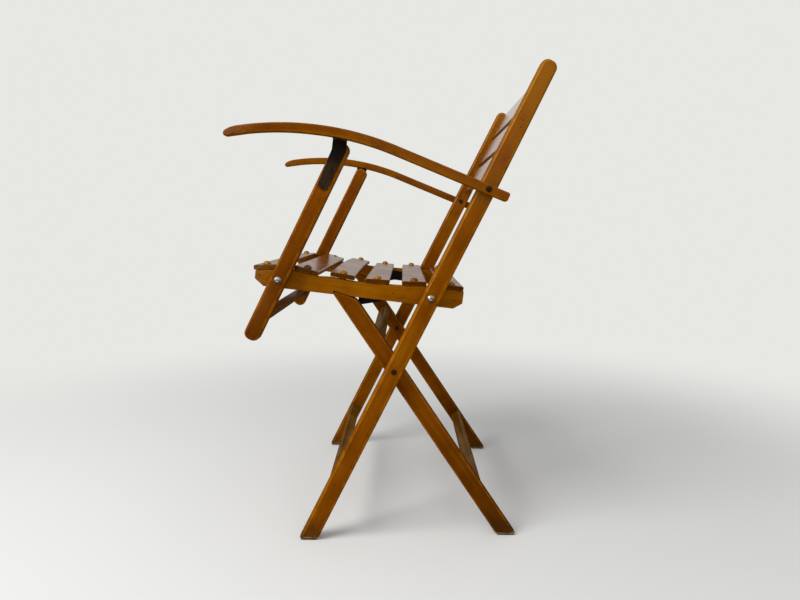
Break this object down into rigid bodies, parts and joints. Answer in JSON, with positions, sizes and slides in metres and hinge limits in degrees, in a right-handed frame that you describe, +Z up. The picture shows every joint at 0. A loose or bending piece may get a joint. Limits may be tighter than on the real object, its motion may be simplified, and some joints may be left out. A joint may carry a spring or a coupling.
{
  "type": "folding armchair",
  "caption": "Folding wooden armchair with a slatted seat and back, crossed legs, curved arms and front posts that fold up with the seat.",
  "frame": {"origin": "on the floor, at the middle of the chair's width and of its depth from the arms' noses to the back's top", "axes": "+Z up, -Y the way the sitter faces, +X towards the sitter's left hand"},
  "size_m": [0.5454, 0.5104, 0.7759],
  "materials": {
    "amber_wood": "glossy amber lacquer",
    "cross_wood": "glossy amber lacquer",
    "seat_slat_wood": "glossy brown lacquer",
    "back_slat_wood": "glossy brown lacquer",
    "plug_wood": "glossy golden lacquer",
    "bright_steel": "polished",
    "browned_steel": "dark brown, worn",
    "brown_painted_steel": "dark brown, satin",
    "blued_steel": "blue-black, satin",
    "grey_glide": "matt grey"
  },
  "bodies": {
    "frame": {"back_rail_left": "amber_wood", "back_rail_right": "amber_wood", "back_slat_1": "back_slat_wood", "back_slat_2": "back_slat_wood", "back_slat_3": "back_slat_wood", "front_stretcher": "cross_wood", "front_glide_left": "grey_glide", "front_glide_right": "grey_glide", "leg_bolt_left": "browned_steel", "leg_bolt_right": "browned_steel", "seat_bolt_left": "bright_steel", "seat_bolt_right": "bright_steel", "arm_bolt_left": "browned_steel", "arm_bolt_right": "browned_steel"},
    "legs": {"rear_leg_left": "amber_wood", "rear_leg_right": "amber_wood", "rear_stretcher": "cross_wood", "leg_bar": "cross_wood", "rear_glide_left": "grey_glide", "rear_glide_right": "grey_glide"},
    "seat": {"seat_rail_left": "amber_wood", "seat_rail_right": "amber_wood", "seat_slat_1": "seat_slat_wood", "seat_slat_2": "seat_slat_wood", "seat_slat_3": "seat_slat_wood", "seat_slat_4": "seat_slat_wood", "seat_slat_5": "seat_slat_wood", "seat_slat_6": "seat_slat_wood", "slat_spacer_left": "seat_slat_wood", "slat_spacer_right": "seat_slat_wood", "seat_slat_1_plug_left": "plug_wood", "seat_slat_1_plug_right": "plug_wood", "seat_slat_2_plug_left": "plug_wood", "seat_slat_2_plug_right": "plug_wood", "seat_slat_3_plug_left": "plug_wood", "seat_slat_3_plug_right": "plug_wood", "seat_slat_4_plug_left": "plug_wood", "seat_slat_4_plug_right": "plug_wood", "seat_slat_5_plug_left": "plug_wood", "seat_slat_5_plug_right": "plug_wood", "seat_slat_6_plug_left": "plug_wood", "seat_slat_6_plug_right": "plug_wood", "catch_plate_left": "blued_steel", "catch_plate_right": "blued_steel"},
    "posts": {"front_post_left": "amber_wood", "front_post_right": "amber_wood", "post_bar": "cross_wood", "post_bolt_left": "bright_steel", "post_bolt_right": "bright_steel", "bracket_screw_left": "browned_steel", "bracket_screw_right": "browned_steel"},
    "left_arm": {"arm_left": "amber_wood", "arm_bracket_left": "brown_painted_steel"},
    "right_arm": {"arm_right": "amber_wood", "arm_bracket_right": "brown_painted_steel"}
  },
  "joints": [
    {"name": "seat_fold", "type": "hinge", "parent": "frame", "child": "seat", "pos_m": [0, 0.06494, 0.40541], "axis": [-1, 0, 0], "range_deg": [0, 89]},
    {"name": "post_fold", "type": "hinge", "parent": "seat", "child": "posts", "pos_m": [0, -0.1794, 0.43389], "axis": [-1, 0, 0], "range_deg": [-89, 0]},
    {"name": "left_arm_fold", "type": "hinge", "parent": "frame", "child": "left_arm", "pos_m": [0.2593, 0.15061, 0.57723], "axis": [-1, 0, 0], "range_deg": [0, 89]},
    {"name": "right_arm_fold", "type": "hinge", "parent": "frame", "child": "right_arm", "pos_m": [-0.2593, 0.15061, 0.57723], "axis": [-1, 0, 0], "range_deg": [0, 89]},
    {"name": "leg_fold", "type": "hinge", "parent": "frame", "child": "legs", "pos_m": [0, 0.0056, 0.28638], "axis": [-1, 0, 0], "range_deg": [0, 44.5]}
  ],
  "couplings": [
    {"joint": "post_fold", "follows": "seat_fold", "ratio": -1},
    {"joint": "left_arm_fold", "follows": "seat_fold", "ratio": 1},
    {"joint": "right_arm_fold", "follows": "seat_fold", "ratio": 1},
    {"joint": "leg_fold", "follows": "seat_fold", "ratio": 0.5}
  ]
}
